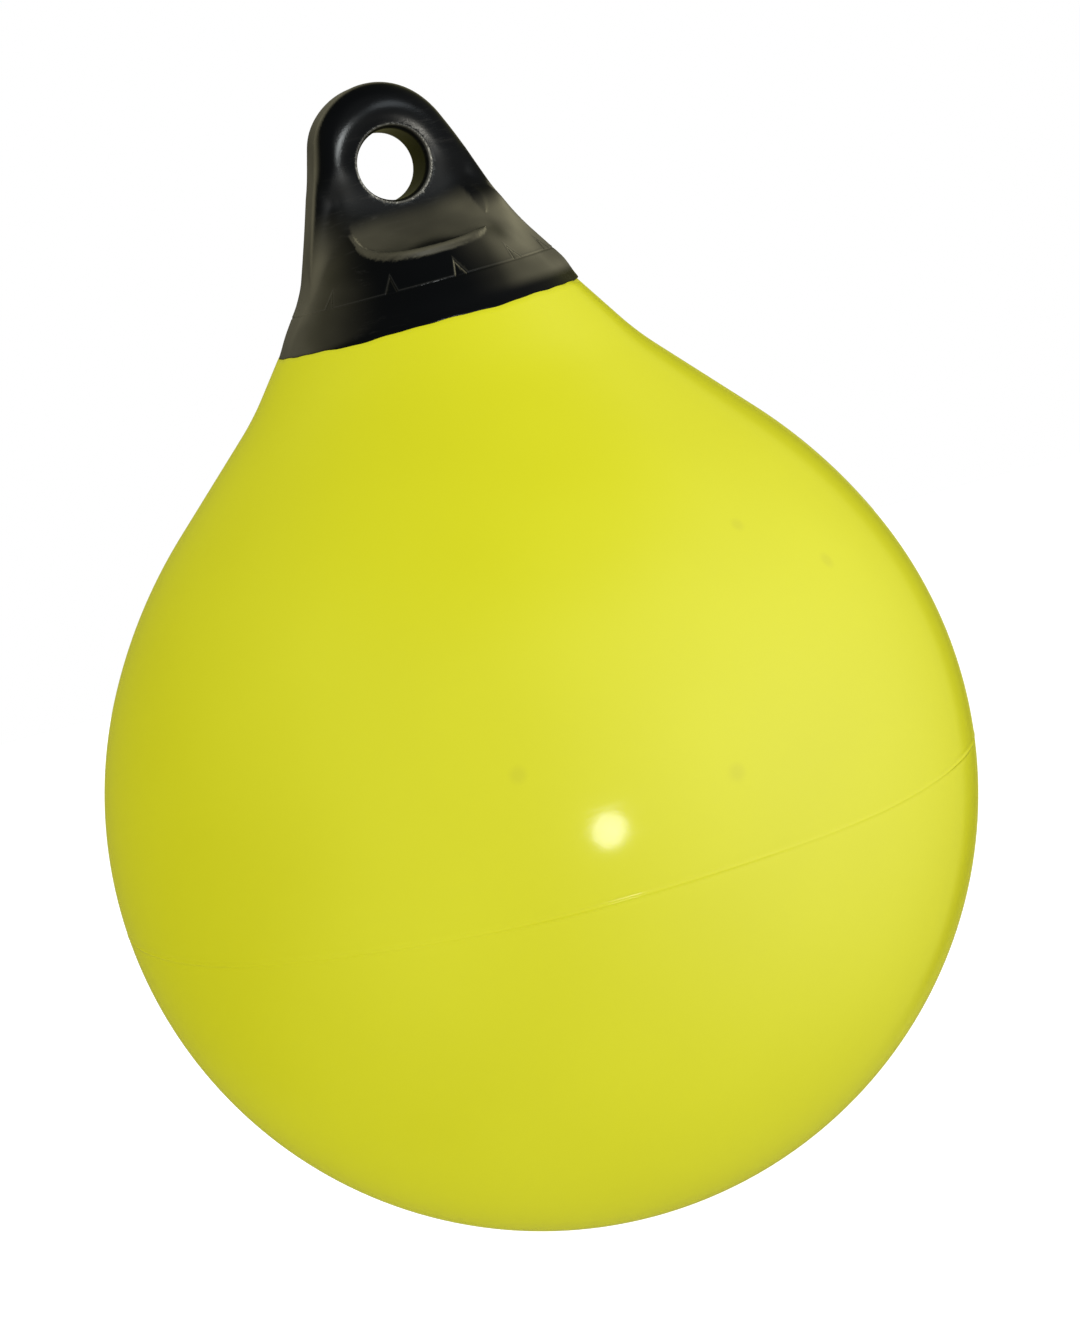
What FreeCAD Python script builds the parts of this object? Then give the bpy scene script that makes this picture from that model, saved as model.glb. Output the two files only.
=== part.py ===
# Inflatable mooring buoy: a hollow vinyl ball with a moulded rope end and its inflation valve.
# Millimetres, +Z up along the ball's axis, with the origin at the centre of the rope eye.
# The eye's hole runs along Y, the lug's front faces -Y, and the valve is in the rear apron.
import FreeCAD
import Part
import os
from math import acos, asin, cos, pi, radians, sin, sqrt, tan
from FreeCAD import Vector

# Ball, shoulder and neck, seen from the side
ball_radius = 152.4
shoulder_radius = 183.0
shoulder_start_deg = 26.0
shoulder_cone_deg = 45.0
neck_bend_radius = 100.0
neck_cone_deg = 36.0
neck_straight_height = 13.33
body_wall = 3.2

# Rope end: its radius at the skirt's edge, how far the eye stands above that edge, and how much it leans
skirt_radius = 53.57
skirt_thickness = 3.2
skirt_proud = 0.3
eye_above_edge = 54.1
end_tilt_deg = 2.4

# Closed neck of the ball inside the rope end
neck_top_drop = 36.0
neck_corner_radius = 8.0

# Lug
lug_thickness = 18.0
lug_top_radius = 25.0
lug_top_rise = 4.3
lug_flank_deg = 20.8
lug_edge_radius = 6.0
lug_spread_drop = 8.0
lug_spread_radius = 150.0
lug_buried = 6.5

# Rope eye and the raised rings round it
eye_radius = 12.0
eye_lead_in = 1.0
ring_inner_radius = 12.5
ring_width = 9.5
ring_height = 1.6
ring_sunk = 1.0

# Aprons, one in front and one behind, and the beads along their lower edges
apron_top_drop = 12.5
apron_top_radius = 5.0
apron_mid_drop = 23.8
apron_mid_reach = 20.5
apron_lip_drop = 31.0
bead_radius = 1.5
bead_half_steps = 5

# The skirt's lower band, which stands proud below a line and has small pointed teeth up from it
band_top_drop = 41.1
band_proud = 0.3
tooth_count = 12
tooth_height = 5.2
tooth_half_base = 2.1
tooth_sunk = 1.0
first_tooth_deg = 2.3

# Inflation valve: a bush through the rear apron, a sealing washer and a slotted screw
valve_reach = 21.5
valve_seat_radius = 8.0
valve_seat_depth = 3.0
valve_flange_radius = 7.6
valve_flange_thickness = 1.8
valve_bush_radius = 5.6
valve_bush_proud = 1.5
valve_thread_radius = 3.5
valve_thread_clearance = 0.1
valve_washer_radius = 5.2
valve_washer_thickness = 1.2
valve_head_radius = 5.6
valve_head_thickness = 2.2
valve_head_rounding = 0.7
valve_slot_width = 1.4
valve_slot_depth = 1.2
valve_screw_length = 13.0

# How far the cutting tools run past what they cut, and how near two points count as one
overrun = 5.0
near = 0.01

# Places in the rope end's own upright frame, which has the eye's centre as its origin
origin = Vector(0, 0, 0)
up = Vector(0, 0, 1)
edge_z = -eye_above_edge
half_lug = lug_thickness / 2
lug_top = lug_top_rise + lug_top_radius
neck_slope = tan(radians(neck_cone_deg))
flank_slope = tan(radians(lug_flank_deg))
neck_slant = cos(radians(neck_cone_deg))


def line(start, end):
    return Part.makeLine(start, end)


def arc(start, middle, end):
    return Part.Arc(start, middle, end).toShape()


def chain(points):
    return [line(a, b) for a, b in zip(points, points[1:])]


def revolved(edges, axis=up):
    return Part.Face(Part.Wire(edges)).revolve(origin, axis, 360)


def extruded_across(edges, half_width):
    # a side view in the YZ plane, made into a block along X
    face = Part.Face(Part.Wire(edges)).translated(Vector(-half_width, 0, 0))
    return face.extrude(Vector(2 * half_width, 0, 0))


def on_circle(centre, radius, angle_deg):
    # a point on a circle in the XZ plane, by its angle above the X axis
    angle = radians(angle_deg)
    return centre + Vector(radius * cos(angle), 0, radius * sin(angle))


def arc_by_angles(centre, radius, start_deg, end_deg):
    middle_deg = (start_deg + end_deg) / 2
    return arc(on_circle(centre, radius, start_deg),
               on_circle(centre, radius, middle_deg),
               on_circle(centre, radius, end_deg))


def edge_end(edge):
    return edge.valueAt(edge.LastParameter)


def edge_points(edge):
    span = edge.LastParameter - edge.FirstParameter
    return [edge.valueAt(edge.FirstParameter + span * k / 4) for k in range(5)]


# The ball's outline, in its own frame with the ball's centre as its origin
shoulder_centre = on_circle(origin, ball_radius - shoulder_radius, shoulder_start_deg)
shoulder_end = on_circle(shoulder_centre, shoulder_radius, shoulder_cone_deg)
bend_end_x = skirt_radius + neck_straight_height * neck_slope
bend_start_x = bend_end_x + neck_bend_radius * (
    cos(radians(neck_cone_deg)) - cos(radians(shoulder_cone_deg)))
bend_start_height = shoulder_end.z + (shoulder_end.x - bend_start_x) / tan(radians(shoulder_cone_deg))
bend_centre = on_circle(Vector(bend_start_x, 0, bend_start_height), neck_bend_radius, shoulder_cone_deg)
bend_end = on_circle(bend_centre, -neck_bend_radius, neck_cone_deg)
skirt_edge_height = bend_end.z + neck_straight_height

# The rope end leans about the point that keeps its edge flush with the neck cone all round
flush_drop = skirt_radius * neck_slope
lean = FreeCAD.Rotation(Vector(0, 1, 0), -end_tilt_deg)
lean_pivot = Vector(0, 0, skirt_edge_height - flush_drop)
eye_centre = lean_pivot + lean.multVec(Vector(0, 0, flush_drop + eye_above_edge))


def ball_solid(inset):
    # all that lies inside the outline moved in by inset, up to where the neck cone would close
    shoulder_arc = arc_by_angles(shoulder_centre, shoulder_radius - inset,
                                 shoulder_start_deg, shoulder_cone_deg)
    bend_arc = arc_by_angles(bend_centre, -neck_bend_radius - inset, shoulder_cone_deg, neck_cone_deg)
    bottom = Vector(0, 0, inset - ball_radius)
    rim = edge_end(bend_arc)
    top = Vector(0, 0, rim.z + rim.x / neck_slope)
    edges = [arc_by_angles(origin, ball_radius - inset, -90, shoulder_start_deg),
             shoulder_arc,
             line(edge_end(shoulder_arc), bend_arc.valueAt(bend_arc.FirstParameter)),
             bend_arc,
             line(rim, top),
             line(top, bottom)]
    return revolved(edges)


def leaned(shape):
    # from the rope end's upright frame to the part's frame
    turned = shape.copy()
    turned.Placement = FreeCAD.Placement(origin, lean)
    return turned


def ball_below(inset, height):
    # the ball up to a height that leans with the rope end
    reach = 3 * ball_radius
    room = Part.makeBox(2 * reach, 2 * reach, reach, Vector(-reach, -reach, height - reach))
    return ball_solid(inset).translated(-eye_centre).common(leaned(room))


def cone_radius(z, proud=0.0):
    # the neck cone's radius at a height in the rope end's frame
    return skirt_radius + proud / neck_slant - (z - edge_z) * neck_slope


def neck_solid(inset, top, bottom):
    # the closed neck inside the rope end, moved in by inset
    proud = -skirt_thickness - inset
    corner = neck_corner_radius - inset
    tangent = corner * tan(radians((90 - neck_cone_deg) / 2))
    high = cone_radius(top, proud)
    slant_end = Vector(high, 0, top) + tangent * Vector(sin(radians(neck_cone_deg)), 0, -neck_slant)
    corner_arc = arc_by_angles(Vector(high - tangent, 0, top - corner), corner, neck_cone_deg, 90)
    foot = Vector(cone_radius(bottom, proud), 0, bottom)
    edges = chain([Vector(0, 0, top), Vector(0, 0, bottom), foot, slant_end])
    edges += [corner_arc, line(edge_end(corner_arc), Vector(0, 0, top))]
    return revolved(edges)


def body_envelope():
    neck = neck_solid(0, -neck_top_drop, edge_z - body_wall)
    return ball_below(0, edge_z).fuse(leaned(neck))


def air_chamber():
    step = edge_z - body_wall
    neck = neck_solid(body_wall, -neck_top_drop - body_wall, step - overrun)
    return ball_below(body_wall, step).fuse(leaned(neck))


# The side view of the front apron: a shallow hollow from the lug's face down to the lip and past it
apron_foot = Vector(0, -half_lug, -apron_top_drop)
apron_lip = Vector(0, -cone_radius(-apron_lip_drop), -apron_lip_drop)
apron_circle = arc(apron_foot, Vector(0, -apron_mid_reach, -apron_mid_drop), apron_lip).Curve
apron_half_width = cone_radius(-apron_lip_drop) + 2 * overrun


def on_apron(reach):
    # the apron's point at a reach from the middle of the lug, towards the front
    across = apron_circle.Center.y + reach
    return Vector(0, -reach, apron_circle.Center.z - sqrt(apron_circle.Radius ** 2 - across ** 2))


def apron_arc(first, last):
    return arc(on_apron(first), on_apron((first + last) / 2), on_apron(last))


def scoop():
    # what is taken away in front of the lug and above the apron
    high = lug_top + overrun
    start = Vector(0, -half_lug, high)
    out = on_apron(overrun - apron_lip.y)
    edges = [line(start, apron_foot), apron_arc(half_lug, -out.y)]
    edges += chain([out, Vector(0, out.y, high), start])
    block = extruded_across(edges, apron_half_width)
    bend = [e for e in block.Edges if all(on_foot(p) for p in edge_points(e))]
    return block.makeFillet(apron_top_radius, bend)


def on_foot(point):
    return Vector(0, point.y, point.z).isEqual(apron_foot, near)


def cone_solid(proud, top):
    points = [Vector(0, 0, top), Vector(0, 0, edge_z), Vector(cone_radius(edge_z, proud), 0, edge_z),
              Vector(cone_radius(top, proud), 0, top), Vector(0, 0, top)]
    return revolved(chain(points))


def tooth(number):
    # a pointed bar that runs out from the axis, by the angle from the front towards the right
    half_foot = tooth_half_base * (1 + tooth_sunk / tooth_height)
    foot = -band_top_drop - tooth_sunk
    corners = [Vector(-half_foot, 0, foot), Vector(half_foot, 0, foot),
               Vector(0, 0, tooth_height - band_top_drop), Vector(-half_foot, 0, foot)]
    bar = Part.Face(Part.Wire(chain(corners))).extrude(Vector(0, -skirt_radius - overrun, 0))
    return bar.rotated(origin, up, first_tooth_deg + number * 360 / tooth_count)


def toothed_band():
    proud = skirt_proud + band_proud
    teeth = [tooth(number) for number in range(tooth_count)]
    outer = cone_solid(proud, tooth_height - band_top_drop + overrun)
    return cone_solid(proud, -band_top_drop).fuse(outer.common(teeth[0].fuse(teeth[1:])))


def lip_point(turn):
    # a point of the U-shaped edge where the apron leaves the neck cone, from its middle at turn 0
    if turn == 0:
        return apron_lip
    at = on_apron(-apron_lip.y * cos(turn))
    side = sqrt(cone_radius(at.z) ** 2 - at.y ** 2)
    return at + Vector(side if turn > 0 else -side, 0, 0)


def lip_bead():
    # a round bead along that edge, with its ends inside the lug
    last_turn = acos((bead_radius - half_lug) / apron_lip.y)
    curve = Part.BSplineCurve()
    steps = range(-bead_half_steps, bead_half_steps + 1)
    curve.interpolate([lip_point(last_turn * k / bead_half_steps) for k in steps])
    path = curve.toShape()
    start = path.valueAt(path.FirstParameter)
    section = Part.makeCircle(bead_radius, start, path.tangentAt(path.FirstParameter))
    return Part.Wire([path]).makePipeShell([Part.Wire([section])], True, False)


# Where the lug's flanks meet the neck cone, and its bottom below that, inside the cone
lug_corner = on_circle(Vector(0, 0, lug_top_rise), lug_top_radius, lug_flank_deg)
flank_at_eye = lug_corner.x + lug_corner.z * flank_slope
cone_at_eye = cone_radius(0)
lug_foot_z = (cone_at_eye - flank_at_eye) / (neck_slope - flank_slope)
lug_bottom_z = lug_foot_z - lug_buried
lug_bottom_x = flank_at_eye - lug_bottom_z * flank_slope


def lug_front_view():
    left = Vector(-lug_corner.x, 0, lug_corner.z)
    right_bottom = Vector(lug_bottom_x, 0, lug_bottom_z)
    left_bottom = Vector(-lug_bottom_x, 0, lug_bottom_z)
    edges = [arc(left, Vector(0, 0, lug_top), lug_corner)]
    edges += chain([lug_corner, right_bottom, left_bottom, left])
    face = Part.Face(Part.Wire(edges)).translated(Vector(0, -skirt_radius, 0))
    return face.extrude(Vector(0, 2 * skirt_radius, 0))


def lug_side_view():
    # straight round the eye, then spreading on a large curve towards the skirt
    turn = asin((-lug_spread_drop - lug_bottom_z) / lug_spread_radius)
    high, start, half_way, foot = spread_points(-1, turn)
    rear_high, rear_start, rear_half_way, rear_foot = spread_points(1, turn)
    edges = [line(high, start), arc(start, half_way, foot), line(foot, rear_foot),
             arc(rear_foot, rear_half_way, rear_start), line(rear_start, rear_high), line(rear_high, high)]
    return extruded_across(edges, skirt_radius)


def spread_points(side, turn):
    # side is -1 for the front of the lug and 1 for its rear
    centre = Vector(0, side * (half_lug + lug_spread_radius), -lug_spread_drop)
    half_way = Vector(0, -side * cos(turn / 2), -sin(turn / 2))
    foot_way = Vector(0, -side * cos(turn), -sin(turn))
    return (Vector(0, side * half_lug, lug_top + overrun),
            Vector(0, side * half_lug, -lug_spread_drop),
            centre + lug_spread_radius * half_way,
            centre + lug_spread_radius * foot_way)


def lug_plate():
    plate = lug_front_view().common(lug_side_view())
    rim = [e for e in plate.Edges if on_rim(e)]
    return plate.makeFillet(lug_edge_radius, rim)


def on_rim(edge):
    # the outline of the lug's front or rear, without its foot, which is inside the cone
    points = edge_points(edge)
    one_side = all(p.y > half_lug - near for p in points) or all(p.y < near - half_lug for p in points)
    return one_side and max(p.z for p in points) > lug_bottom_z + near and not level(points)


def level(points):
    return max(p.z for p in points) - min(p.z for p in points) < near


def eye_rings():
    # one solid through the lug that stands proud as a rounded ring on both faces, with its feet in the lug
    half_width = ring_width / 2
    middle = ring_inner_radius + half_width
    crown_radius = (half_width ** 2 + ring_height ** 2) / (2 * ring_height)
    crest = half_lug + ring_height
    foot = half_lug - ring_sunk
    half_foot = sqrt(crown_radius ** 2 - (crown_radius - crest + foot) ** 2)
    inner = middle - half_foot
    outer = middle + half_foot
    edges = [line(Vector(inner, -foot, 0), Vector(inner, foot, 0)),
             arc(Vector(inner, foot, 0), Vector(middle, crest, 0), Vector(outer, foot, 0)),
             line(Vector(outer, foot, 0), Vector(outer, -foot, 0)),
             arc(Vector(outer, -foot, 0), Vector(middle, -crest, 0), Vector(inner, -foot, 0))]
    return revolved(edges, Vector(0, 1, 0))


def eye_hole():
    # the eye's hole, with a rounded lead-in at each face
    wall = half_lug - eye_lead_in
    mouth = eye_radius + eye_lead_in
    knee = eye_lead_in * (1 - sin(pi / 4))
    past = half_lug + ring_height + overrun
    front = chain([Vector(0, -past, 0), Vector(mouth, -past, 0), Vector(mouth, -half_lug, 0)])
    front_knee = Vector(eye_radius + knee, knee - half_lug, 0)
    rear_knee = Vector(eye_radius + knee, half_lug - knee, 0)
    rear = chain([Vector(mouth, half_lug, 0), Vector(mouth, past, 0), Vector(0, past, 0), Vector(0, -past, 0)])
    edges = front + [arc(Vector(mouth, -half_lug, 0), front_knee, Vector(eye_radius, -wall, 0)),
                     line(Vector(eye_radius, -wall, 0), Vector(eye_radius, wall, 0)),
                     arc(Vector(eye_radius, wall, 0), rear_knee, Vector(mouth, half_lug, 0))]
    return revolved(edges + rear, Vector(0, 1, 0))


# The valve's place: on the rear apron at its reach from the lug's middle, and square to it
valve_point = Vector(0, valve_reach, on_apron(valve_reach).z)
valve_out = (Vector(0, -apron_circle.Center.y, apron_circle.Center.z) - valve_point).normalize()
valve_seat = valve_point - valve_seat_depth * valve_out
chamber_top = -neck_top_drop - body_wall
bush_slant = valve_bush_radius * abs(valve_out.y) / valve_out.z
valve_bush_length = (valve_seat.z - chamber_top) / valve_out.z + bush_slant + valve_bush_proud
flange_top = valve_seat + valve_flange_thickness * valve_out
washer_top = flange_top + valve_washer_thickness * valve_out


def valve_cylinder(radius, length, start):
    # a round piece along the valve's axis, towards the outside where the length is positive
    if length < 0:
        return Part.makeCylinder(radius, -length, start, -valve_out)
    return Part.makeCylinder(radius, length, start, valve_out)


def valve_room():
    # the seat for the flange, and the hole for the bush through rope end and neck
    seat = valve_cylinder(valve_seat_radius, valve_seat_depth + 2 * overrun, valve_seat)
    hole = valve_cylinder(valve_bush_radius, -valve_bush_length - overrun, valve_seat + overrun * valve_out)
    return seat.fuse(hole)


def valve_bush():
    flange = valve_cylinder(valve_flange_radius, valve_flange_thickness, valve_seat)
    tube = valve_cylinder(valve_bush_radius, -valve_bush_length - valve_flange_thickness, flange_top)
    bore = valve_cylinder(valve_thread_radius, -valve_bush_length - 2 * overrun, valve_seat + overrun * valve_out)
    return flange.fuse(tube).removeSplitter().cut(bore)


def valve_washer():
    disc = valve_cylinder(valve_washer_radius, valve_washer_thickness, flange_top)
    hole = valve_cylinder(valve_thread_radius, valve_washer_thickness, flange_top)
    return disc.cut(hole)


def valve_screw():
    head = valve_cylinder(valve_head_radius, valve_head_thickness, washer_top)
    head_top = washer_top + valve_head_thickness * valve_out
    rim = [e for e in head.Edges if e.Closed and e.CenterOfMass.isEqual(head_top, near)]
    head = head.makeFillet(valve_head_rounding, rim)
    shank_radius = valve_thread_radius - valve_thread_clearance
    shank = valve_cylinder(shank_radius, -valve_screw_length, washer_top)
    length = 2 * valve_head_radius + overrun
    slot = Part.makeBox(length, valve_slot_width, 2 * valve_slot_depth,
                        Vector(-length / 2, -valve_slot_width / 2, -valve_slot_depth))
    slot.Placement = FreeCAD.Placement(head_top, FreeCAD.Rotation(up, valve_out))
    return head.fuse(shank).removeSplitter().cut(slot)


def rope_end(envelope, room):
    front_scoop = scoop()
    front_lip = lip_bead()
    cone = cone_solid(skirt_proud, apron_top_radius - apron_top_drop).fuse(toothed_band())
    rear_scoop = front_scoop.rotated(origin, up, 180)
    rear_lip = front_lip.rotated(origin, up, 180)
    end = cone.cut([front_scoop, rear_scoop]).fuse([front_lip, rear_lip])
    end = end.fuse(lug_plate().fuse(eye_rings()))
    end = end.removeSplitter().cut([eye_hole(), room])
    return leaned(end).cut(envelope)


def main():
    os.makedirs("parts", exist_ok=True)
    envelope = body_envelope()
    room = valve_room()
    solids = {
        "buoy_body": envelope.cut([air_chamber(), leaned(room)]),
        "rope_end": rope_end(envelope, room),
        "valve_bush": leaned(valve_bush()),
        "valve_washer": leaned(valve_washer()),
        "valve_screw": leaned(valve_screw()),
    }
    for name, shape in solids.items():
        state = "valid" if shape.isValid() else "NOT VALID"
        print(name, state, len(shape.Solids), "solid", round(shape.Volume), "mm3")
        shape.exportStep("parts/" + name + ".step")


main()
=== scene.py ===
# Inflatable mooring buoy: a glossy yellow vinyl ball with a black moulded rope end and an air valve
import bpy
import bmesh
import numpy as np
from math import acos, asin, cos, pi, radians, sin, tan
from mathutils import Matrix, Vector


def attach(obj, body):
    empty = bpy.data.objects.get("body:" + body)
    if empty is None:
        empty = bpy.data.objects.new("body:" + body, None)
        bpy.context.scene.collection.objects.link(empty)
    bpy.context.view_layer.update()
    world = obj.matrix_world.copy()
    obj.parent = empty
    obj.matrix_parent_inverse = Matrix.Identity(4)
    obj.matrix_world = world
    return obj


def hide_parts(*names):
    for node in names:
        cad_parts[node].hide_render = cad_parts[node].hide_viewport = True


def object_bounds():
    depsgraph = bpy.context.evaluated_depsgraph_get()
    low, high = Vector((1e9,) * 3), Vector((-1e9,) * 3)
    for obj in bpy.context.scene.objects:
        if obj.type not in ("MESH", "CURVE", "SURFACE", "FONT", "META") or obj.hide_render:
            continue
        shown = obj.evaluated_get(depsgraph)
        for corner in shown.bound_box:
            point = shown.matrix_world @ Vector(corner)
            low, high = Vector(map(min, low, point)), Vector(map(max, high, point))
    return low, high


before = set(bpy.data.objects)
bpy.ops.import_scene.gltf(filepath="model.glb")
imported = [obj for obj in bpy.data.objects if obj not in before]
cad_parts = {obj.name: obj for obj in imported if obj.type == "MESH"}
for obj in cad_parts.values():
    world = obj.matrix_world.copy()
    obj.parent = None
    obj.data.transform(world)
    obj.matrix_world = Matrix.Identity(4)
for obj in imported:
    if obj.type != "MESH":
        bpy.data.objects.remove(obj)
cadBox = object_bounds()
print("frame loaded")

mm = 0.001    # the shapes below are worked out in millimetres

# How the ball and the rope end sit in the part's frame, whose origin is the centre of the rope eye
place = {
    "ballCentre": (3.8953, 0.0, -223.7184),
    "endLean": 2.4,    # degrees that the rope end leans to the left
    "edgeDrop": 54.1,    # from the eye down to the rope end's edge
    "edgeRadius": 53.571,    # the neck cone's radius at that edge
    "neckAngle": 36.0,
}
neckSlope = tan(radians(place["neckAngle"]))
neckSlant = cos(radians(place["neckAngle"]))
ballCentre = np.array(place["ballCentre"])
leanTurn = np.array(Matrix.Rotation(radians(-place["endLean"]), 3, "Y"))

# The camera, as it stood for the photograph
camera = {
    "at": (-288.072, -985.667, -31.918),
    "forward": (0.29009, 0.94647, -0.14159),
    "right": (0.92244, -0.31594, -0.22201),
    "lens": 80.53,
    "sensorTall": 36,
    "clip": (0.05, 30),    # metres
}


def addObject(name, data):
    thing = bpy.data.objects.new(name, data)
    bpy.context.scene.collection.objects.link(thing)
    return thing


def addCamera():
    data = bpy.data.cameras.new("camera")
    data.sensor_fit = "VERTICAL"
    data.sensor_height = camera["sensorTall"]
    data.lens = camera["lens"]
    data.clip_start, data.clip_end = camera["clip"]
    holder = addObject("camera", data)
    forward = Vector(camera["forward"]).normalized()
    right = Vector(camera["right"]).normalized()
    turn = Matrix((right, right.cross(forward), -forward)).transposed()
    holder.matrix_world = Matrix.Translation(Vector(camera["at"]) * mm) @ turn.to_4x4()
    bpy.context.scene.camera = holder


addCamera()


def neckConeRadius(z, proud=0.0):
    return place["edgeRadius"] + proud / neckSlant - (z + place["edgeDrop"]) * neckSlope


# The rope end's edge isn't trimmed quite level: this is how far it wanders up and down round the neck
edgeWave = {
    "sides": 0.4,    # it stands this much higher at both sides than in front
    "front": radians(-106.0),
    "heights": (0.28, 0.22, 0.12, 0.08),
    "counts": (3, 7, 13, 29),
    "starts": (0.6, 2.1, 4.0, 1.3),
}


def edgeHeight(turn):
    wander = 0
    for height, count, start in zip(edgeWave["heights"], edgeWave["counts"], edgeWave["starts"]):
        wander = wander + height * np.sin(count * turn + start)
    wander = wander + edgeWave["sides"] * (1 - np.cos(2 * (turn - edgeWave["front"])))
    return wander - place["edgeDrop"]


# Small helpers for shapes given by distance, negative inside
def smoothMin(a, b, reach):
    near = np.clip(1 - np.abs(a - b) / reach, 0, None)
    return np.minimum(a, b) - near * near * reach / 4


def smoothMax(a, b, reach):
    return -smoothMin(-a, -b, reach)


def easeBetween(low, high, value):
    part = np.clip((value - low) / (high - low), 0, 1)
    return part * part * (3 - 2 * part)


def bell(value, wide):
    return np.exp(-(value / wide) ** 2)


# Finishes. What both vinyls share is a node group, with its own values in each
def addNode(tree, kind, values=None, **settings):
    node = tree.nodes.new(kind)
    for name, value in settings.items():
        setattr(node, name, value)
    for name, value in (values or {}).items():
        node.inputs[name].default_value = value
    return node


def vinylSkinGroup():
    # the soft orange-peel of moulded vinyl, its handling scuffs and slow changes of tone
    group = bpy.data.node_groups.new("vinylSkin", "ShaderNodeTree")
    newSocket = group.interface.new_socket
    newSocket(name="Place", in_out="INPUT", socket_type="NodeSocketVector")
    for name in ("Tone size", "Peel size", "Scuff size", "Scuff amount"):
        newSocket(name=name, in_out="INPUT", socket_type="NodeSocketFloat")
    for name in ("Tone", "Peel", "Scuffs"):
        newSocket(name=name, in_out="OUTPUT", socket_type="NodeSocketFloat")
    start = group.nodes.new("NodeGroupInput")
    end = group.nodes.new("NodeGroupOutput")
    link = group.links.new
    for name, roughness in (("Tone", 0.45), ("Peel", 0.5)):
        noise = addNode(group, "ShaderNodeTexNoise", {"Detail": 2.0, "Roughness": roughness})
        link(start.outputs["Place"], noise.inputs["Vector"])
        link(start.outputs[name + " size"], noise.inputs["Scale"])
        link(noise.outputs["Fac"], end.inputs[name])
    # scuffs: thin stretched streaks, kept only where a second noise is strong
    stretch = addNode(group, "ShaderNodeMapping", {"Scale": (1.0, 1.0, 6.0), "Rotation": (0.5, 0.3, 0.9)})
    link(start.outputs["Place"], stretch.inputs["Vector"])
    streak = addNode(group, "ShaderNodeTexNoise", {"Detail": 5.0, "Roughness": 0.65, "Distortion": 0.4})
    link(stretch.outputs["Vector"], streak.inputs["Vector"])
    link(start.outputs["Scuff size"], streak.inputs["Scale"])
    patch = addNode(group, "ShaderNodeTexNoise", {"Scale": 18.0, "Detail": 2.0})
    link(start.outputs["Place"], patch.inputs["Vector"])
    thin = rangeMap(group, streak.outputs["Fac"], 0.56, 0.74, 0, 1)
    strong = rangeMap(group, patch.outputs["Fac"], 0.45, 0.7, 0, 1)
    amount = addNode(group, "ShaderNodeMath", operation="MULTIPLY", use_clamp=True)
    link(maths(group, "MULTIPLY", thin, strong), amount.inputs[0])
    link(start.outputs["Scuff amount"], amount.inputs[1])
    link(amount.outputs["Value"], end.inputs["Scuffs"])
    return group


def startMaterial(name):
    material = bpy.data.materials.new(name)
    material.use_nodes = True
    tree = material.node_tree
    shader = tree.nodes["Principled BSDF"]
    coords = tree.nodes.new("ShaderNodeTexCoord")
    return material, tree, shader, coords


def skinNode(tree, coords, values):
    skin = addNode(tree, "ShaderNodeGroup", values, node_tree=vinylSkin)
    tree.links.new(coords.outputs["Object"], skin.inputs["Place"])
    return skin


def colourMix(tree, amount, first, second, blend="MIX"):
    # first and second are colours or sockets; amount is a number or a socket
    mix = addNode(tree, "ShaderNodeMix", data_type="RGBA", blend_type=blend)
    for socket, value in ((mix.inputs[0], amount), (mix.inputs[6], first), (mix.inputs[7], second)):
        if isinstance(value, bpy.types.NodeSocket):
            tree.links.new(value, socket)
        else:
            socket.default_value = value
    return mix.outputs[2]


def rangeMap(tree, value, fromMin, fromMax, toMin, toMax, smooth=False):
    node = addNode(tree, "ShaderNodeMapRange",
                   {"From Min": fromMin, "From Max": fromMax, "To Min": toMin, "To Max": toMax})
    if smooth:
        node.interpolation_type = "SMOOTHSTEP"
    tree.links.new(value, node.inputs["Value"])
    return node.outputs["Result"]


def toneRange(tree, skin, low, high):
    # follows the skin's slow changes of tone, whose noise runs from about 0.3 to 0.7
    return rangeMap(tree, skin.outputs["Tone"], 0.3, 0.7, low, high)


def maths(tree, operation, *values):
    node = addNode(tree, "ShaderNodeMath", operation=operation)
    for socket, value in zip(node.inputs, values):
        if isinstance(value, bpy.types.NodeSocket):
            tree.links.new(value, socket)
        else:
            socket.default_value = value
    return node.outputs["Value"]


def attribute(tree, name):
    return addNode(tree, "ShaderNodeAttribute", attribute_name=name).outputs["Fac"]


def peelBump(tree, shader, skin, distance, strength):
    bump = addNode(tree, "ShaderNodeBump", {"Strength": strength, "Distance": distance})
    tree.links.new(skin.outputs["Peel"], bump.inputs["Height"])
    tree.links.new(bump.outputs["Normal"], shader.inputs["Normal"])


vinylSkin = vinylSkinGroup()
yellowVinyl = {
    "skin": {"Tone size": 9.0, "Peel size": 700.0, "Scuff size": 45.0, "Scuff amount": 0.08},
    "peel": (0.00002, 0.6),    # how high, in metres, and how strong
    "deep": (0.63, 0.625, 0.008, 1),
    "bright": (0.67, 0.67, 0.011, 1),
    "roughness": (0.09, 0.15),
    "smudge": (0.45, 0.42, 0.02, 1),
    "smudgeStrength": 0.22,
    "smudgeFade": (0.3, 1.3),    # where a smudge's edge starts and ends, as parts of its size
    # faint dark marks on the ball, each a place and a size in millimetres
    "smudges": (((-43.8, -140.7, -189.6), 3.0), ((21.4, -150.3, -205.7), 3.2),
                ((81.3, -112.1, -155.3), 3.0), ((52.4, -115.2, -136.5), 2.6)),
}


def smudgeMask(tree, coords, spot, size):
    away = addNode(tree, "ShaderNodeVectorMath", operation="DISTANCE")
    away.inputs[1].default_value = Vector(spot) * mm
    tree.links.new(coords.outputs["Object"], away.inputs[0])
    start, end = (part * size * mm for part in yellowVinyl["smudgeFade"])
    return rangeMap(tree, away.outputs["Value"], start, end, yellowVinyl["smudgeStrength"], 0, True)


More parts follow.
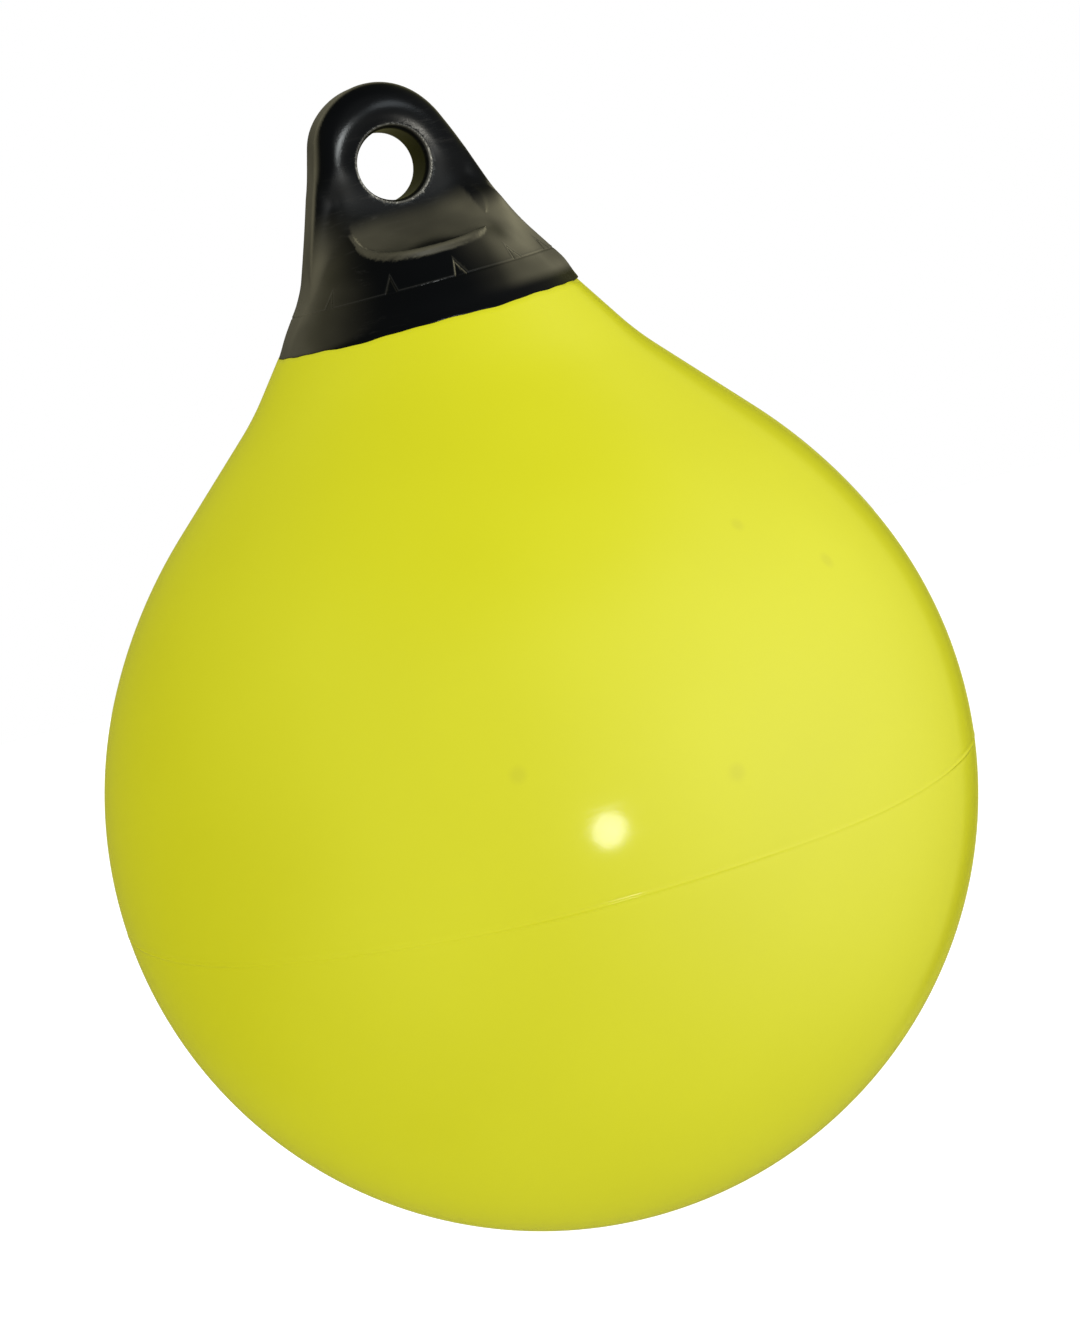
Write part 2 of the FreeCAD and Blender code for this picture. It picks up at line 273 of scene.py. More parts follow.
def yellowVinylFinish():
    material, tree, shader, coords = startMaterial("yellowVinyl")
    skin = skinNode(tree, coords, yellowVinyl["skin"])
    colour = colourMix(tree, toneRange(tree, skin, 0, 1), yellowVinyl["deep"], yellowVinyl["bright"])
    for spot, size in yellowVinyl["smudges"]:
        colour = colourMix(tree, smudgeMask(tree, coords, spot, size), colour, yellowVinyl["smudge"])
    tree.links.new(colour, shader.inputs["Base Color"])
    rough = maths(tree, "ADD", toneRange(tree, skin, *yellowVinyl["roughness"]), skin.outputs["Scuffs"])
    tree.links.new(rough, shader.inputs["Roughness"])
    peelBump(tree, shader, skin, *yellowVinyl["peel"])
    return material


blackVinyl = {
    "skin": {"Tone size": 40.0, "Peel size": 1500.0, "Scuff size": 110.0, "Scuff amount": 0.8},
    "peel": (0.00004, 0.5),
    "deep": (0.0006, 0.0007, 0.0008, 1),
    "scuffAndPaintedHighlight": (0.0075, 0.0072, 0.0066, 1),
    # the colour of the painted highlights on the witness line and the eye's rim
    "paintedHighlight": (0.13, 0.125, 0.11, 1),
    "roughness": (0.18, 0.28),
    "scuffRoughness": 0.2,
    "gloss": 0.035,
    # the colour of the painted light and sheen
    "paintedLight": (0.057, 0.052, 0.034, 1),
    "paintedLightPatchy": (0.7, 1.3),    # how much the painted light comes and goes
    "paintedLightRoughness": 0.9,
    "dullRoughness": 0.3,
    "sheen": 0.02,
    "sheenRoughness": 0.3,
    "sheenTint": (0.80, 0.76, 0.52, 1),
}


def blackVinylFinish():
    material, tree, shader, coords = startMaterial("blackVinyl")
    skin = skinNode(tree, coords, blackVinyl["skin"])
    # painted light and sheen: a grey-olive mask stands in for light on the scoops' floors and the right flank
    # and for sheen on edges turning away from the front; it also makes them rougher
    paintedLight = attribute(tree, "paintedLight")
    colour = colourMix(tree, skin.outputs["Scuffs"], blackVinyl["deep"], blackVinyl["scuffAndPaintedHighlight"])
    patchy = maths(tree, "MULTIPLY", paintedLight, toneRange(tree, skin, *blackVinyl["paintedLightPatchy"]))
    colour = colourMix(tree, patchy, colour, blackVinyl["paintedLight"])
    # painted highlights along the witness line and the eye's rim
    colour = colourMix(tree, attribute(tree, "scuffAndPaintedHighlight"), colour, blackVinyl["paintedHighlight"])
    tree.links.new(colour, shader.inputs["Base Color"])
    rough = maths(tree, "MULTIPLY_ADD", skin.outputs["Scuffs"], blackVinyl["scuffRoughness"],
                  toneRange(tree, skin, *blackVinyl["roughness"]))
    rough = maths(tree, "MULTIPLY_ADD", paintedLight, blackVinyl["paintedLightRoughness"], rough)
    rough = maths(tree, "MULTIPLY_ADD", attribute(tree, "dull"), blackVinyl["dullRoughness"], rough)
    tree.links.new(rough, shader.inputs["Roughness"])
    shader.inputs["Specular IOR Level"].default_value = blackVinyl["gloss"]
    shader.inputs["Sheen Weight"].default_value = blackVinyl["sheen"]
    shader.inputs["Sheen Roughness"].default_value = blackVinyl["sheenRoughness"]
    shader.inputs["Sheen Tint"].default_value = blackVinyl["sheenTint"]
    peelBump(tree, shader, skin, *blackVinyl["peel"])
    return material


yellowFinish = yellowVinylFinish()
blackFinish = blackVinylFinish()
print("vinyl finishes made")


def meshPiece(name, points, faces, node, finish):
    mesh = bpy.data.meshes.new(name)
    mesh.from_pydata((np.asarray(points) * mm).tolist(), [], faces)
    mesh.shade_smooth()
    piece = addObject(name, mesh)
    dress(piece, node, finish)
    return piece


def dress(piece, node, finish):
    piece.data.materials.clear()
    piece.data.materials.append(finish)
    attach(piece, "root")
    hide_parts(node)


# The ball: its outline is turned round its axis in rings, closer together along the mould seam
ball = {
    "radius": 152.4,
    "shoulderRadius": 183.0,
    "shoulderStart": 26.0,    # degrees above the ball's centre
    "coneStart": 45.0,
    "bendHeight": 150.0,
    "bendRadius": 100.0,
    "turns": 384,    # points round the ball
    "lowerRows": 62,    # the rings in each part of the outline
    "upperRows": 26,
    "shoulderRows": 22,
    "coneRows": 9,
    "bendRows": 14,
    "neckRows": 9,
    "edgeGuess": 170.0,    # about how high over the ball's centre the rope end's edge is
}
# The mould seam: a thin line of flash between two grooves, which wanders and is stronger here and there
seam = {
    "height": -10.8,    # from the ball's centre
    "tilt": 0.5,    # degrees, up to the camera's right
    "cameraRight": (0.96, -0.28),
    "waves": ((0.5, 3, 0.4), (0.25, 8, 1.0)),    # each a height, a count and a start
    "strength": (0.7, 0.3),    # the steady part and the part that changes
    "patches": ((5, 2.0), (11, 0.0)),
    "tall": 0.22,
    "wide": 0.42,
    "grooveDeep": 0.10,
    "grooveAway": 0.95,
    "grooveWide": 0.45,
    "rows": (0.1, 0.2, 0.33, 0.5, 0.75, 1.1, 1.7, 2.5),    # how far the rings lie from it on either side
    "follow": (4.0, 40.0),    # rings this near follow it up and down, and those this far don't
}
# The ball's closed neck inside the rope end, in the end's leaning frame
neckInside = {
    "proud": -3.25,    # just clear of the skirt
    "ledge": (0.3, 1.0),
    "heights": (-50.0, -44.0, -40.5),
    "top": -36.05,
    "corner": ((1.0, -37.9), (-1.6, -36.5), (-4.5, -36.05)),    # each how far out from the neck, and how high
    "lastRing": 12.0,
}


def onOutline(centre, radius, degrees):
    angle = radians(degrees)
    return (centre[0] + radius * cos(angle), centre[1] + radius * sin(angle))


def ballOutline():
    # the fixed part of the outline, from the bottom up to the top of the neck's bend, as (radius, height)
    seamAngle = np.degrees(asin(seam["height"] / ball["radius"]))
    away = np.array([-row for row in reversed(seam["rows"])] + [0.0] + list(seam["rows"]))
    seamRows = seamAngle + np.degrees(away / ball["radius"])
    lower = np.linspace(-90, seamRows[0], ball["lowerRows"])[1:-1]
    upper = np.linspace(seamRows[-1], ball["shoulderStart"], ball["upperRows"])[1:]
    centre = (0.0, 0.0)
    rows = [onOutline(centre, ball["radius"], angle) for angle in (*lower, *seamRows, *upper)]
    shoulder = onOutline(centre, ball["radius"] - ball["shoulderRadius"], ball["shoulderStart"])
    rows += [onOutline(shoulder, ball["shoulderRadius"], angle)
             for angle in np.linspace(ball["shoulderStart"], ball["coneStart"], ball["shoulderRows"])[1:]]
    end = rows[-1]
    half = radians(ball["coneStart"] - place["neckAngle"]) / 2
    corner = end[0] - (ball["bendHeight"] - end[1]) * tan(radians(ball["coneStart"]))
    reach = ball["bendRadius"] * tan(half)
    slope = radians(ball["coneStart"])
    start = (corner + reach * sin(slope), ball["bendHeight"] - reach * cos(slope))
    for part in np.arange(1, ball["coneRows"]) / ball["coneRows"]:
        rows.append((end[0] + (start[0] - end[0]) * part, end[1] + (start[1] - end[1]) * part))
    bend = onOutline(start, ball["bendRadius"], ball["coneStart"])
    rows += [onOutline(bend, -ball["bendRadius"], angle)
             for angle in np.linspace(ball["coneStart"], place["neckAngle"], ball["bendRows"])]
    return rows


def ringOf(radius, turn, height):
    height = np.broadcast_to(height, turn.shape)
    return np.stack([radius * np.cos(turn), radius * np.sin(turn), height], axis=1)


def edgeOnNeck(turn, bendEnd):
    # where the neck's cone meets the rope end's leaning edge, in the ball's own frame
    height = np.full_like(turn, ball["edgeGuess"])
    for again in range(12):
        radius = bendEnd[0] - (height - bendEnd[1]) * neckSlope
        own = (ringOf(radius, turn, height) + ballCentre) @ leanTurn
        height = height + edgeHeight(np.arctan2(own[:, 1], own[:, 0])) - own[:, 2]
    return height


def seamCourse(turn):
    # how high the seam runs, and how strong it is
    across, towardsBack = seam["cameraRight"]
    cameraSide = ball["radius"] * (across * np.cos(turn) + towardsBack * np.sin(turn))
    level = seam["height"] + tan(radians(seam["tilt"])) * cameraSide
    for height, count, start in seam["waves"]:
        level = level + height * np.sin(count * turn + start)
    steady, strength = seam["strength"]
    for count, start in seam["patches"]:
        strength = strength * np.sin(count * turn + start)
    return level, steady + strength


def seamedRing(radius, turn, height):
    # a ring of the outline; on the round part, those near the seam follow it and those on it are raised
    shoulderHeight = ball["radius"] * sin(radians(ball["shoulderStart"])) + 0.01
    if height >= shoulderHeight:
        return ringOf(radius, turn, height)
    level, strength = seamCourse(turn)
    away = abs(height - seam["height"])
    height = height + (level - seam["height"]) * (1 - easeBetween(*seam["follow"], away))
    ridge = seam["tall"] * bell(away, seam["wide"])
    groove = seam["grooveDeep"] * bell(away - seam["grooveAway"], seam["grooveWide"])
    size = 1 + (ridge - groove) * strength / ball["radius"]
    return ringOf(np.sqrt(ball["radius"] ** 2 - height ** 2), turn, height) * size[:, None]


def neckRings(edge):
    # a ledge under the rope end's edge, then the closed neck
    own = edge @ leanTurn
    turn = np.arctan2(own[:, 1], own[:, 0])
    around, height = np.hypot(own[:, 0], own[:, 1]), own[:, 2]
    neck = neckConeRadius(height, neckInside["proud"])
    rings = [ringOf(around + (neck - around) * part, turn, height) for part in neckInside["ledge"]]
    for height in neckInside["heights"]:
        rings.append(ringOf(neckConeRadius(height, neckInside["proud"]), turn, height))
    shoulder = neckConeRadius(neckInside["top"], neckInside["proud"])
    for out, height in neckInside["corner"]:
        rings.append(ringOf(shoulder + out, turn, height))
    rings.append(ringOf(neckInside["lastRing"], turn, neckInside["top"]))
    return [ring @ leanTurn.T for ring in rings]


def makeBall():
    outline = ballOutline()
    bendEnd = outline[-1]
    count = ball["turns"]
    turn = np.arange(count) * 2 * pi / count
    top = edgeOnNeck(turn, bendEnd)
    rings = [seamedRing(radius, turn, height) for radius, height in outline]
    for part in np.linspace(0, 1, ball["neckRows"])[1:]:
        height = bendEnd[1] + (top - bendEnd[1]) * part
        rings.append(ringOf(bendEnd[0] - (height - bendEnd[1]) * neckSlope, turn, height))
    rings = [ring + ballCentre for ring in rings]
    rings += neckRings(rings[-1])
    bottom = ballCentre + np.array([0, 0, -ball["radius"]])
    cap = np.array([0, 0, neckInside["top"]]) @ leanTurn.T
    points = np.concatenate(rings + [[bottom, cap]])
    faces = []
    last = (len(rings) - 1) * count
    for k in range(count):
        nextK = (k + 1) % count
        for base in range(0, last, count):
            faces.append((base + k, base + nextK, base + count + nextK, base + count + k))
        faces.append((len(points) - 2, nextK, k))
        faces.append((last + k, last + nextK, len(points) - 1))
    return meshPiece("ball", points, faces, "buoy_body", yellowFinish)


ballPiece = makeBall()
print("ball made:", len(ballPiece.data.polygons), "faces")


# The rope end: one moulding, given as a distance field in its own upright frame, negative inside
ropeEnd = {
    "lugHalf": 9.0,
    "lugTopRadius": 24.4,
    "lugTopRise": 4.0,
    "lugFlankAngle": 20.8,
    "lugEdgeRound": 5.0,
    "leftSteeper": 0.04,    # its left flank runs a little steeper than its right one
    "leftSteeperFrom": -4.0,
    "topLeft": 1.4,    # how far its top sits to the left of the eye
    "topLeftSpan": (-2.0, 20.0),
    "lugSpreadDrop": 8.0,
    "lugSpreadRadius": 150.0,
    "eyeRadius": 12.0,
    "ringRadius": 17.3,
    "ringHalf": 9.5,
    "ringHigh": 2.4,
    "ringSquash": 0.3,    # how much closer the ring's lower part lies to the eye
    "ringSquashSpan": (0.0, -12.0),
    "ringLower": 0.5,    # how much lower the ring is there
    "ringLowerSpan": (-2.0, -15.0),
    "eyeRound": 0.35,
    "mouthFlare": 0.95,    # how much wider the eye is at its mouths
    "mouthFrom": 7.4,    # half the length of its straight part
    "mouthTo": 10.2,
    "rimRadius": 13.2,
    "rimHigh": 0.36,
    "rimWide": 0.30,
    "rimDepth": 7.0,
    "apronRadius": 47.331,
    "apronMiddle": (47.4385, 15.1171),
    "skirtProud": 0.45,
    "edgeProud": -0.15,    # the skirt thins out until the yellow stands a little proud of it
    "edgeTaper": 9.0,
    "edgeRound": 0.5,
    "skirtThick": 3.2,
    "neckTop": 36.0,
    "neckRound": 4.0,
    "skinDepth": -1.6,    # what lies further out than this, from the cone, is the outside
    "faceSize": 0.9,    # of the even mesh that the shape starts from
    "lineDrop": 41.1,
    "lineRadius": 43.0,
    "lineWide": 0.24,
    "lineRidge": 0.07,
    "lineRidgeAt": -0.3,
    "lineGroove": 0.24,
    "lineGrooveAt": 0.25,
    "lineRows": (-0.55, -0.3, 0.0, 0.3, 0.55),
    "toothHigh": 5.2,
    "toothHalf": 2.1,
    "toothFoot": 0.6,
    "toothTurns": (-60.0, -28.0, 2.9, 34.3, 64.0, 93.5, 123.0, 152.5, 182.0, 211.5, 241.0, 270.5),
}
# The bead along each scoop's lip. Places along it run from -1 at its left end to 1 at its right end
lipBead = {
    "reach": 36.788,
    "sunk": 0.5,
    "points": 61,
    "thick": 1.5,
    "ends": ((0.45, 0.80, 0.4), (0.80, 1.0, 2.2)),    # from where to where it gets how much thinner
    "frontRight": (0.30, 0.62, 2.2),    # the front one fades out on its right arm
    "frontLeft": -14.0,    # its left arm sits a little nearer the middle from here
    "frontLeftPart": 0.90,
    "round": 0.9,
    "within": (6.0, -38.0, 0.0),    # its least depth, and how low and high it reaches
}
# The scoops' edges. A span says where a change starts and where it is complete
scoop = {
    "wallSlope": 1.6,    # the front one's left end is walled in
    "wallFrom": -22.0,
    "wallSpan": (-34.0, -22.0),
    "round": 1.0,
    "roundRight": 6.0,    # it runs out into the flank on its right
    "roundRightSpan": (14.0, 30.0),
    "roundTop": 7.0,
    "roundTopSpan": (-22.0, -13.0),
}
# How softly the lug runs into the rest, and how it fades out below
lugFoot = {
    "soft": 1.5,
    "faceSoft": 5.0,    # added on its faces
    "faceSpan": (6.0, 11.0),
    "leftLess": 0.9,    # but not at the far left
    "leftSpan": (20.0, 34.0),
    "cornerSoft": 6.0,    # added where the lug's corners meet the scoops
    "cornerAt": (21.0, -15.0),
    "cornerSpan": (5.0, 9.0),
    "frontSoft": 5.0,    # added in front on the right
    "frontSpan": (12.0, 26.0),
    "frontDepth": (9.0, 16.0),
    "rightSoft": 4.0,
    "rightSpan": (24.0, 34.0),
    "flankSoft": 6.0,
    "flankAt": (27.0, -21.0),
    "spotSize": 60.0,
    "fadeFrom": -36.0,
    "fadeLower": 8.0,    # the right flank goes further down
    "fadeLowerSpan": (10.0, 30.0),
    "fadeTall": 11.0,
    "fade": 4.0,
}
valve = {
    "reach": 21.5,
    "seatRadius": 8.0,
    "seatDepth": 3.0,
    "holeRadius": 5.6,
    "holeDepth": 30.0,
}


def apronHeight(reach):
    across, rise = ropeEnd["apronMiddle"]
    return rise - np.sqrt(ropeEnd["apronRadius"] ** 2 - (across - reach) ** 2)


def lipLine():
    # the U-shaped edge in front where the apron leaves the neck cone, from left to right
    last = acos((ropeEnd["lugHalf"] - lipBead["sunk"]) / lipBead["reach"])
    turn = np.linspace(-last, last, lipBead["points"])
    reach = lipBead["reach"] * np.cos(turn)
    height = apronHeight(reach)
    side = np.sqrt(np.clip(neckConeRadius(height) ** 2 - reach ** 2, 0, None)) * np.sign(turn)
    return np.stack([side, -reach, height], axis=1), turn / last


def lipDistance(points, sideSign):
    # distance to the bead along the front lip, sideSign 1, or the rear one, -1
    line, along = lipLine()
    line = line * np.array([sideSign, sideSign, 1])
    thick = lipBead["thick"]
    for start, end, less in lipBead["ends"]:
        thick = thick - less * easeBetween(start, end, np.abs(along))
    if sideSign > 0:
        left, part = lipBead["frontLeft"], lipBead["frontLeftPart"]
        line[:, 0] = np.where(line[:, 0] < left, left + (line[:, 0] - left) * part, line[:, 0])
        start, end, less = lipBead["frontRight"]
        thick = thick - less * easeBetween(start, end, along)
    near = np.full(len(points), 50.0)
    for k in range(len(line) - 1):
        start, step = line[k], line[k + 1] - line[k]
        part = np.clip(((points - start) @ step) / (step @ step), 0, 1)
        gap = np.linalg.norm(points - start - part[:, None] * step, axis=1)
        near = np.minimum(near, gap - (thick[k] + (thick[k + 1] - thick[k]) * part))
    return near


def toothField(points):
    # how far inside the lower band with its pointed teeth a point is, in millimetres along the surface
    turn = np.arctan2(points[:, 0], -points[:, 1])
    inside = -ropeEnd["lineDrop"] - points[:, 2]
    rise = points[:, 2] + ropeEnd["lineDrop"]
    slope = ropeEnd["toothHalf"] / ropeEnd["toothHigh"]
    for tooth in ropeEnd["toothTurns"]:
        away = np.angle(np.exp(1j * (turn - radians(tooth)))) * ropeEnd["lineRadius"]
        side = (ropeEnd["toothHalf"] - rise * slope - np.abs(away)) / np.hypot(1, slope)
        inside = np.maximum(inside, np.minimum(side, rise + ropeEnd["toothFoot"]))
    return inside


def lineShape(inside):
    # the witness line is a thin ridge with a groove under it
    ridge = bell(inside - ropeEnd["lineRidgeAt"], ropeEnd["lineWide"])
    groove = bell(inside - ropeEnd["lineGrooveAt"], ropeEnd["lineWide"])
    return ridge, groove


def ringSwell(x, z):
    # how far the broad ring round the eye stands proud of the lug
    fromEye = np.hypot(x, z * (1 + ropeEnd["ringSquash"] * easeBetween(*ropeEnd["ringSquashSpan"], z)))
    part = np.clip(1 - ((fromEye - ropeEnd["ringRadius"]) / ropeEnd["ringHalf"]) ** 2, 0, 1)
    lower = 1 - ropeEnd["ringLower"] * easeBetween(*ropeEnd["ringLowerSpan"], z)
    return ropeEnd["ringHigh"] * lower * part * np.sqrt(part)


def lugHalfAt(x, z):
    # half the lug's thickness, which spreads towards its foot
    drop = np.clip(-ropeEnd["lugSpreadDrop"] - z, 0, 100)
    radius = ropeEnd["lugSpreadRadius"]
    return ropeEnd["lugHalf"] + radius - np.sqrt(radius ** 2 - drop ** 2) + ringSwell(x, z)


def lugOutline(x, z):
    rise = z - ropeEnd["lugTopRise"]
    flank = radians(ropeEnd["lugFlankAngle"])
    onArc = rise * cos(flank) - x * sin(flank) > 0
    return np.where(onArc, np.hypot(x, rise), x * cos(flank) + rise * sin(flank)) - ropeEnd["lugTopRadius"]


def lugField(points):
    depth, z = np.abs(points[:, 1]), points[:, 2]
    x = np.abs(points[:, 0] + ropeEnd["topLeft"] * easeBetween(*ropeEnd["topLeftSpan"], z))
    soft = ropeEnd["lugEdgeRound"]
    below = np.clip(ropeEnd["leftSteeperFrom"] - z, 0, 40)
    steeper = ropeEnd["leftSteeper"] * below * (points[:, 0] < 0)
    a, b = lugOutline(x + steeper, z) + soft, depth - lugHalfAt(np.abs(points[:, 0]), z) + soft
    return np.hypot(np.clip(a, 0, None), np.clip(b, 0, None)) + np.minimum(np.maximum(a, b), 0) - soft


def spotAt(x, z, centre, size):
    # 1 at the centre, fading away round it
    return np.exp(-((x - centre[0]) ** 2 + (z - centre[1]) ** 2) / size)


def apronDepth(depth, z):
    # how far under a scoop's floor
    across, rise = ropeEnd["apronMiddle"]
    return ropeEnd["apronRadius"] - np.hypot(depth - across, z - rise)


def bodyField(points):
    # the skirt's cone, cut by the two scoops, with beads along their lips
    x, y, z = points[:, 0], points[:, 1], points[:, 2]
    taper = easeBetween(0.0, ropeEnd["edgeTaper"], z + place["edgeDrop"])
    proud = ropeEnd["edgeProud"] + (ropeEnd["skirtProud"] - ropeEnd["edgeProud"]) * taper
    cone = (np.hypot(x, y) - neckConeRadius(z, proud)) * neckSlant
    wall = scoop["wallSlope"] * np.clip(scoop["wallFrom"] - x, 0, 20) * easeBetween(*scoop["wallSpan"], z)
    soft = scoop["round"] + scoop["roundRight"] * easeBetween(*scoop["roundRightSpan"], x) * (y < 0)
    soft = soft + scoop["roundTop"] * easeBetween(*scoop["roundTopSpan"], z)
    body = smoothMax(cone, apronDepth(np.abs(y), z) - wall * (y < 0), soft)
    out, low, high = lipBead["within"]
    byLip = (np.abs(y) > out) & (z > low) & (z < high)
    for side in (1, -1):
        pick = byLip & (y * side < 0)
        body[pick] = smoothMin(body[pick], lipDistance(points[pick], side), lipBead["round"])
    return body


def lugSoftness(x, y, z):
    # how softly the lug runs into the rest at a place
    depth = np.abs(y)
    middle = 1 - lugFoot["leftLess"] * easeBetween(*lugFoot["leftSpan"], -x)
    corner = spotAt(np.abs(x), z, lugFoot["cornerAt"], lugFoot["spotSize"])
    front = easeBetween(*lugFoot["frontSpan"], x) * easeBetween(*lugFoot["frontDepth"], -y)
    soft = lugFoot["soft"] + lugFoot["faceSoft"] * easeBetween(*lugFoot["faceSpan"], depth) * middle
    soft = soft + lugFoot["cornerSoft"] * corner * easeBetween(*lugFoot["cornerSpan"], depth)
    soft = soft + lugFoot["frontSoft"] * front * middle
    soft = soft + lugFoot["rightSoft"] * easeBetween(*lugFoot["rightSpan"], x)
    return soft + lugFoot["flankSoft"] * spotAt(x, z, lugFoot["flankAt"], lugFoot["spotSize"])


def ropeEndField(points, fine=False):
    x, y, z = points[:, 0], points[:, 1], points[:, 2]
    depth, eye = np.abs(y), np.hypot(x, z)
    fadeFrom = lugFoot["fadeFrom"] - lugFoot["fadeLower"] * easeBetween(*lugFoot["fadeLowerSpan"], x)
    fade = lugFoot["fade"] * easeBetween(0.0, lugFoot["fadeTall"], fadeFrom - z)
    solid = smoothMin(bodyField(points), lugField(points) + fade, lugSoftness(x, y, z))
    if fine:
        rim = bell(eye - ropeEnd["rimRadius"], ropeEnd["rimWide"]) * (depth > ropeEnd["rimDepth"])
        ridge, groove = lineShape(toothField(points))
        solid = solid - ropeEnd["rimHigh"] * rim
        solid = solid - ropeEnd["lineRidge"] * ridge + ropeEnd["lineGroove"] * groove
    flare = ropeEnd["mouthFlare"] * easeBetween(ropeEnd["mouthFrom"], ropeEnd["mouthTo"], depth)
    solid = smoothMax(solid, ropeEnd["eyeRadius"] + flare - eye, ropeEnd["eyeRound"])
    solid = smoothMax(solid, edgeHeight(np.arctan2(y, x)) - z, ropeEnd["edgeRound"])
    neck = (np.hypot(x, y) - neckConeRadius(z, -ropeEnd["skirtThick"])) * neckSlant
    solid = np.maximum(solid, -smoothMax(neck, z + ropeEnd["neckTop"], ropeEnd["neckRound"]))
    return np.maximum(solid, -valveField(points))


def valveField(points):
    # the flange seat in the rear apron and the hole under it
    across, rise = ropeEnd["apronMiddle"]
    foot = np.array([0, valve["reach"], apronHeight(valve["reach"])])
    out = np.array([0, across - foot[1], rise - foot[2]])
    out = out / np.linalg.norm(out)
    along = (points - foot) @ out
    offAxis = np.linalg.norm(points - foot - along[:, None] * out, axis=1)
    seat = np.maximum(offAxis - valve["seatRadius"], -valve["seatDepth"] - along)
    hole = np.maximum(offAxis - valve["holeRadius"], -valve["holeDepth"] - along)
    return np.minimum(seat, hole)


def settleOn(points, fine, rounds):
    # moves points along the field's slope until they lie on the surface
    tips = np.array([[1, -1, -1], [-1, -1, 1], [-1, 1, -1], [1, 1, 1]], float)
    reach = 0.03
    longestMove = 0.6
    for again in range(rounds):
        value = ropeEndField(points, fine)
        slope = sum(tip * ropeEndField(points + reach * tip, fine)[:, None] for tip in tips) / (4 * reach)
        size = np.clip((slope ** 2).sum(axis=1), 0.25, None)
        move = -(value / size)[:, None] * slope
        length = np.linalg.norm(move, axis=1)
        points = points + move * np.minimum(1, longestMove / np.maximum(length, 1e-9))[:, None]
    return points, slope / np.linalg.norm(slope, axis=1)[:, None]


def evenOut(points, normals, edges, amount):
    # slides each point towards the middle of its neighbours, along the surface only
    total = np.zeros_like(points)
    count = np.bincount(edges.ravel(), minlength=len(points))[:, None]
    np.add.at(total, edges[:, 0], points[edges[:, 1]])
    np.add.at(total, edges[:, 1], points[edges[:, 0]])
    move = total / count - points
    move -= (move * normals).sum(axis=1)[:, None] * normals
    return points + amount * move


def pointsOf(mesh):
    flat = np.empty(len(mesh.vertices) * 3, np.float32)
    mesh.vertices.foreach_get("co", flat)
    return flat.reshape(-1, 3).astype(float) / mm


def putPoints(mesh, points):
    mesh.vertices.foreach_set("co", (points * mm).astype(np.float32).ravel())
    mesh.update()


def makeRopeEnd():
    # starts from an even remesh of the solid, set upright
    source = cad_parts["rope_end"]
    mesh = source.data.copy()
    putPoints(mesh, pointsOf(mesh) @ leanTurn)
    piece = addObject("ropeEnd", mesh)
    even = piece.modifiers.new("even", "REMESH")
    even.mode = "VOXEL"
    even.voxel_size = ropeEnd["faceSize"] * mm
    even.use_smooth_shade = True
    bpy.context.view_layer.update()
    evened = piece.evaluated_get(bpy.context.evaluated_depsgraph_get())
    mesh = bpy.data.meshes.new_from_object(evened)
    piece.modifiers.clear()
    piece.data = mesh
    edges = np.empty(len(mesh.edges) * 2, np.int32)
    mesh.edges.foreach_get("vertices", edges)
    edges = edges.reshape(-1, 2)
    points = pointsOf(mesh)
    for again in range(3):
        points, normals = settleOn(points, False, 2)
        points = evenOut(points, normals, edges, 0.5)
    points, normals = settleOn(points, False, 2)
    putPoints(mesh, points)
    print("rope end settled:", len(points), "points")
    cutLines(mesh)
    points, normals = settleOn(pointsOf(mesh), True, 3)
    markPaintedLightAndDull(mesh, points, normals)
    putPoints(mesh, points @ leanTurn.T)
    mesh.shade_smooth()
    dress(piece, "rope_end", blackFinish)
    return piece


